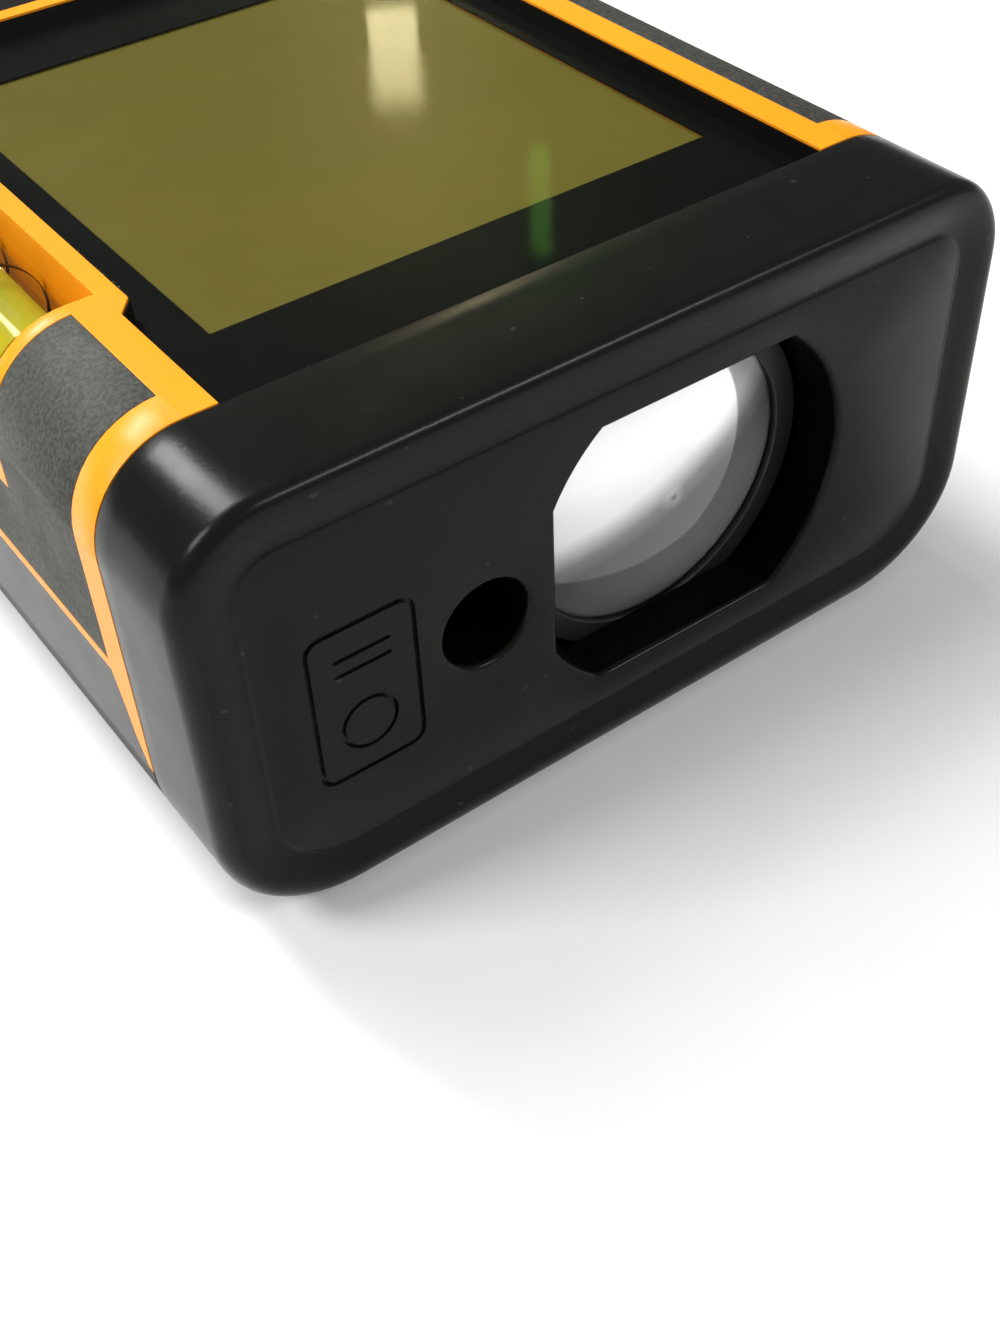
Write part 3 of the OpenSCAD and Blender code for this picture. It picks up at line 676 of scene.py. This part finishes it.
def in_tunnel(point, face_y):
    """Whether a point of the cap lies on the wall behind the laser's or the receiver's opening."""
    x, y, z = point
    slack = 0.02
    in_laser = math.hypot(x - LASER_X, z - LASER_Z) < LASER_R + slack
    in_opening = (math.hypot(x - LENS_X, z - LENS_Z) < OPENING_R + slack
                  and x - LENS_X > OPENING_LEFT - OPENING_R - slack)
    return face_y + 0.3 < y < FRONT_Y + HOOD_BACK + 0.1 and (in_laser or in_opening)


def front_cap():
    """Front cap: a rolled front rim, a sunk band and a flat face with the two optical openings."""
    face_y = FRONT_Y + FACE_BACK
    rings = [cap_ring(inset, inset, inset, y=CAP_REAR_Y - back)
             for inset, back in ((0.12, 0), (0.03, 0.04), (0, 0.14))]
    rings += [cap_ring(0, 0, 0, y=CAP_REAR_Y - 0.14 - 1.2 * k) for k in range(1, 4)]
    for k in range(8):
        t = math.pi / 2 * k / 7
        inset = [r * (1 - math.cos(t)) for r in RIM]
        rings.append(cap_ring(*inset, round_back=[r * (1 - math.sin(t)) for r in RIM_REACH]))
    for share, back in BAND:
        rings.append(cap_ring(*[a + (b - a) * share for a, b in zip(RIM, FACE_INSET)], back=back))
    outside = loft(rings, False)
    inner = [cap_ring(WALL, WALL, WALL, y=y) for y in (CAP_REAR_Y, FRONT_Y + INNER_BACK)]
    inside_wall = loft(inner, False)
    rear = loft([rings[0], inner[0]], False)
    face_loop = [(p.x, p.z) for p in rings[-1]]
    inner_loop = [(p.x, p.z) for p in inner[-1]]
    laser = [circle(LASER_X, LASER_Z, LASER_R + g, 48) for g in (MOUTH_ROUND, 0.0, LASER_COLLAR)]
    opening = [opening_outline(g) for g in (MOUTH_ROUND, 0.0, OPENING_COLLAR)]
    lines = sign_loops()
    marks = [loop for pair in lines for loop in pair if loop]
    parts = [outside, inside_wall, rear,
             planar([face_loop, laser[0], opening[0]] + marks, face_y, True),
             planar([inner_loop, laser[2], opening[2]], FRONT_Y + INNER_BACK, False)]
    for wide, true, hood in (laser, opening):
        before, y_before = wide, face_y
        for k in range(1, 4):
            t = math.pi / 2 * k / 3
            now = [(w[0] + (n[0] - w[0]) * math.sin(t), w[1] + (n[1] - w[1]) * math.sin(t))
                   for w, n in zip(wide, true)]
            y_now = face_y + MOUTH_ROUND * (1 - math.cos(t))
            parts.append(wall_between(before, y_before, now, y_now))
            before, y_before = now, y_now
        parts += [wall_between(true, y_before, true, FRONT_Y + HOOD_BACK),
                  wall_between(true, FRONT_Y + HOOD_BACK, hood, FRONT_Y + HOOD_BACK),
                  wall_between(hood, FRONT_Y + HOOD_BACK, hood, FRONT_Y + INNER_BACK)]
    for outer, island in lines:
        loops = [outer] + ([island] if island else [])
        parts.append(planar(loops, face_y + GROOVE_DEPTH, True))
        parts += [wall_between(l, face_y, l, face_y + GROOVE_DEPTH) for l in loops]
    verts, faces = joined(*parts)
    cap = add_object("cap_shell", verts, faces, "case", MATERIALS["black_plastic"], sharp=32)
    stand_for(cap, "black_plastic", "front_cap")
    # The walls behind the openings take the painted shade material
    cap.data.materials.append(MATERIALS["tunnel_painted_shade"])
    for face in cap.data.polygons:
        if in_tunnel(face.center / MM, face_y):
            face.material_index = 1


# ---------- display ----------

STEP_Y = (-41.4, -40.2, -17.0, -15.8)
STEP_X = 18.3
WINDOW_EDGE_T = 0.06
# The print covers the display's edge by PRINT_LAP, and by more or less on three sides, because
# a clear window that doesn't bend light shows the display shifted
PRINT_LAP = 0.6
FRONT_EXTRA, LEFT_EXTRA, RIGHT_LAP = 1.9, 0.7, 0.05


def window_outline(grow):
    """The window's plan, which steps in beside the level."""
    hw = WINDOW_HI.x + grow
    return [(-hw, WINDOW_LO.y - grow), (hw, WINDOW_LO.y - grow), (hw, WINDOW_HI.y + grow),
            (-hw, WINDOW_HI.y + grow), (-hw, STEP_Y[3] - grow), (-STEP_X - grow, STEP_Y[2] - grow),
            (-STEP_X - grow, STEP_Y[1] + grow), (-hw, STEP_Y[0] + grow)]


def window_mask():
    """Black print under the window's border, and the blackened edge round the window."""
    mask_lo, mask_hi = box_mm("window_mask")
    front, back = LCD_LO.y + PRINT_LAP + FRONT_EXTRA, LCD_HI.y - PRINT_LAP
    left, right = LCD_LO.x + PRINT_LAP + LEFT_EXTRA, LCD_HI.x - RIGHT_LAP
    view = [(left, front), (right, front), (right, back), (left, back)]
    edge_in, edge_out = window_outline(0.015), window_outline(0.015 + WINDOW_EDGE_T)
    border = slab(edge_out, [view], mask_hi.z - mask_lo.z - 0.02, 0, flat_at(mask_hi.z - 0.01))
    rim = slab(edge_out, [edge_in], WINDOW_HI.z - mask_hi.z - 0.05, 0, flat_at(WINDOW_HI.z - 0.05))
    verts, faces = joined(border, rim)
    piece = add_object("window_print", verts, faces, "case", MATERIALS["mask_ink"])
    stand_for(piece, "mask_ink", "window_mask")


# ---------- keys ----------

KEY_TOP_Z = 29.0
FLANGE_Z, FLANGE_T = 26.3, 0.8
FLANGE_REACH = 0.6
KEY_R = 2.4
ICON_T = 0.3
ICON_PROUD = 0.05
KEY_NAMES = ("plus", "minus", "area", "unit", "reference", "memory", "light", "power")


def bar(x, y, w, h, turn=0.0):
    """A bar with rounded ends, turned about its own centre by degrees."""
    pts = round_rect(x, y, w, h, 0.45 * min(w, h))
    c, d = math.cos(math.radians(turn)), math.sin(math.radians(turn))
    return [(x + (u - x) * c - (v - y) * d, y + (u - x) * d + (v - y) * c) for u, v in pts]


def icon_shapes(name):
    """Generic symbols as (outline, holes) pairs about the key's centre."""
    if name == "plus":
        a, b = 1.6, 0.25
        return [([(-a, -b), (-b, -b), (-b, -a), (b, -a), (b, -b), (a, -b),
                  (a, b), (b, b), (b, a), (-b, a), (-b, b), (-a, b)], [])]
    if name == "minus":
        return [(bar(0, 0, 3.2, 0.5), [])]
    if name == "area":
        return [(round_rect(0, 0, 3.2, 2.6, 0.3), [round_rect(0, 0, 2.5, 1.9, 0.2)])]
    if name == "unit":
        marks = [(bar(x, 0.1, 0.35, 1.1), []) for x in (-1.6, -0.55, 0.55, 1.6)]
        return [(bar(0, -0.9, 3.8, 0.4), [])] + marks
    if name == "reference":
        arrow = [(1.1, -0.9), (2.1, 0), (1.1, 0.9)]
        return [(bar(-1.7, 0, 0.4, 2.8), []), (bar(0.1, 0, 2.2, 0.4), []), (arrow, [])]
    if name == "memory":
        return [(bar(0, y, 3.2, 0.45), []) for y in (-1.0, 0, 1.0)]
    if name == "light":
        rays = [(bar(1.65 * math.cos(a), 1.65 * math.sin(a), 0.6, 0.3, math.degrees(a)), [])
                for a in [math.tau * k / 8 for k in range(8)]]
        return [(circle(0, 0, 0.95, 28), [circle(0, 0, 0.62, 28)])] + rays
    arc = [math.radians(130 + 280 * k / 24) for k in range(25)]
    band = [(1.6 * math.cos(a), 1.6 * math.sin(a)) for a in arc]
    band += [(1.2 * math.cos(a), 1.2 * math.sin(a)) for a in reversed(arc)]
    return [(band, []), (bar(0, 1.1, 0.4, 1.7), [])]


def key_cap(name):
    """A key with rolled edges and a slight crown, its flange under the panel, and its symbol."""
    node = name + "_key"
    lo, hi = box_mm(node)
    x, y = (lo.x + hi.x) / 2, (lo.y + hi.y) / 2
    hw, hl = (hi.x - lo.x) / 2 - FLANGE_REACH, (hi.y - lo.y) / 2 - FLANGE_REACH

    def crown(u, v):
        return -0.16 * (((u - x) / hw) ** 2 + ((v - y) / hl) ** 2)

    grid = [(x + 0.9 * i, y + 0.9 * j) for i in range(-6, 7) for j in range(-6, 7)]
    cap = slab(round_rect(x, y, 2 * hw, 2 * hl, KEY_R), [], KEY_TOP_Z - FLANGE_Z - 0.3, 0.45,
               flat_at(KEY_TOP_Z), grid, crown=crown)
    foot = round_rect(x, y, 2 * (hw + FLANGE_REACH), 2 * (hl + FLANGE_REACH), KEY_R + FLANGE_REACH)
    flange = slab(foot, [], FLANGE_T, 0, flat_at(FLANGE_Z + FLANGE_T))
    verts, faces = joined(cap, flange)
    piece = add_object(node + "_cap", verts, faces, name, MATERIALS["key_grey"])
    stand_for(piece, "key_grey", node)
    symbol(node + "_symbol", name, icon_shapes(name), x, y, KEY_TOP_Z,
           lambda u, v: crown(u, v) + ICON_PROUD)


def symbol(name, body, shapes, x, y, top, lift):
    """Printed symbol: thin slabs just proud of the key's surface."""
    parts = []
    for outline, holes in shapes:
        moved = [[(u + x, v + y) for u, v in loop] for loop in [outline] + holes]
        parts.append(slab(moved[0], moved[1:], ICON_T, 0, flat_at(top), step=0.4, crown=lift))
    verts, faces = joined(*parts)
    add_object(name, verts, faces, body, MATERIALS["label_film"])


def measure_button():
    """Round button with a rolled rim and a shallow dish."""
    lo, hi = box_mm("measure_button")
    x, y, top = 0.0, (lo.y + hi.y) / 2, hi.z
    r = (hi.x - lo.x) / 2 - FLANGE_REACH
    dish = 0.28

    def sunk(u, v):
        out = min(1.0, math.hypot(u - x, v - y) / (r - 1.0))
        return -dish * (1 - out * out) ** 2

    rings = [(r + FLANGE_REACH, FLANGE_Z), (r + FLANGE_REACH, FLANGE_Z + FLANGE_T), (r, FLANGE_Z + FLANGE_T)]
    for k in range(7):
        t = math.pi / 2 * k / 6
        rings.append((r - 0.6 * (1 - math.cos(t)), top - 0.6 + 0.6 * math.sin(t)))
    rings += [(q, top + sunk(x + q, y)) for q in [r - 1.0 - (r - 1.2) * k / 12 for k in range(13)]]
    loops = [[Vector((u, v, z)) for u, v in circle(x, y, q, 72)] for q, z in rings]
    verts, faces = loft(loops)
    button = add_object("measure_button_cap", verts, faces, "measure", MATERIALS["button_orange"])
    stand_for(button, "button_orange", "measure_button")
    rays = [(bar(2.1 * math.cos(a), 2.1 * math.sin(a), 1.6, 0.4, math.degrees(a)), [])
            for a in (0, math.pi / 2, math.pi, 3 * math.pi / 2)]
    shapes = [(circle(0, 0, 0.55, 24), [])] + rays
    symbol("measure_button_symbol", "measure", shapes, x, y, top - ICON_PROUD,
           lambda u, v: sunk(u, v) + ICON_PROUD)


finish_nodes()
front_cap()
window_mask()
for key_name in KEY_NAMES:
    key_cap(key_name)
measure_button()


# ---------- stage, lights and camera ----------

# This section is in metres
FLOOR_HALF, FLOOR_DROP = 6.0, 0.0002
BODY, CAP_CORNER = (0, -0.03, 0.02), (-0.02, -0.054, 0.025)
WHITE, WARM, GREEN = (1, 1, 1), (1, 0.86, 0.5), (0.3, 1, 0.12)
# Name, place, what it is aimed at, size, watts and colour. The edge softbox shines in the cap's
# rounded top left edge. The warm and the green lamp are seen only as streaks in the window.
LIGHTS = (
    ("left_softbox", (-0.44, 0.10, 0.46), BODY, (0.2, 0.22), 2.5, WHITE),
    ("front_softbox", (0.30, -0.52, 0.46), BODY, (0.32, 0.024), 1.9, WHITE),
    ("top_softbox", (-0.12, 0.42, 0.78), (0, 0, 0.02), (0.45, 0.3), 2.8, WHITE),
    ("edge_softbox", (-0.086, 0.39, 0.423), CAP_CORNER, (0.16, 0.2), 2.8, WHITE),
    ("warm_lamp", (0.200, 0.287, 0.188), (0.008, -0.025, 0.028), (0.014, 0.026), 0.035, WARM),
    ("green_lamp", (0.214, 0.237, 0.218), (0.004, -0.046, 0.028), (0.006, 0.03), 0.004, GREEN),
)
CAMERA_PLACE = (-0.045578, -0.112117, 0.072992)
CAMERA_RIGHT = (0.80573, -0.59109, -0.03757)
CAMERA_UP = (0.43223, 0.54343, 0.71962)
CAMERA_LENS, CAMERA_SENSOR = 44.84, 36.0


def aim(obj, place, target):
    obj.location = Vector(place)
    obj.rotation_euler = (Vector(target) - Vector(place)).to_track_quat("-Z", "Y").to_euler()


def area_light(name, place, target, size, watts, colour):
    data = bpy.data.lights.new(name, "AREA")
    data.shape = "RECTANGLE"
    data.size, data.size_y = size
    data.energy = watts
    data.color = colour
    lamp = bpy.data.objects.new(name, data)
    bpy.context.scene.collection.objects.link(lamp)
    aim(lamp, place, target)
    return lamp


def make_stage():
    mesh = bpy.data.meshes.new("floor")
    r = FLOOR_HALF
    mesh.from_pydata([(-r, -r, 0), (r, -r, 0), (r, r, 0), (-r, r, 0)], [], [(0, 1, 2, 3)])
    floor = bpy.data.objects.new("floor", mesh)
    bpy.context.scene.collection.objects.link(floor)
    floor.location.z = -FLOOR_DROP
    mat = moulded("floor_paper", grey(0.9), 0.8, vary=0.01, grain_mm=0.002, specular=0.1)
    floor.data.materials.append(mat)
    make_world()
    bpy.context.scene.view_settings.view_transform = "Standard"
    for light in LIGHTS:
        area_light(*light)


def make_world():
    """Soft white room, brighter in front of the object than behind it."""
    world = bpy.data.worlds.new("studio")
    world.use_nodes = True
    nodes, links = world.node_tree.nodes, world.node_tree.links
    where = nodes.new("ShaderNodeTexCoord")
    split = nodes.new("ShaderNodeSeparateXYZ")
    links.new(where.outputs["Generated"], split.inputs["Vector"])
    span = nodes.new("ShaderNodeMapRange")
    span.inputs["From Min"].default_value = -1
    span.inputs["From Max"].default_value = 0.6
    links.new(split.outputs["Y"], span.inputs["Value"])
    tone = ramp(nodes, links, span.outputs["Result"],
                [(0.0, grey(0.42)), (0.55, grey(0.34)), (1.0, grey(0.14))])
    links.new(tone, nodes["Background"].inputs["Color"])
    bpy.context.scene.world = world


def make_camera():
    """The photograph's viewpoint: place, and the directions of the frame's right and up."""
    right, up = Vector(CAMERA_RIGHT), Vector(CAMERA_UP)
    back = right.cross(up)
    data = bpy.data.cameras.new("camera")
    data.sensor_fit = "VERTICAL"
    data.sensor_height = CAMERA_SENSOR
    data.sensor_width = CAMERA_SENSOR
    data.lens = CAMERA_LENS
    data.clip_start = 0.002
    cam = bpy.data.objects.new("camera", data)
    bpy.context.scene.collection.objects.link(cam)
    turn = Matrix((right, up, back)).transposed().to_4x4()
    cam.matrix_world = Matrix.Translation(CAMERA_PLACE) @ turn
    bpy.context.scene.camera = cam


make_stage()
make_camera()
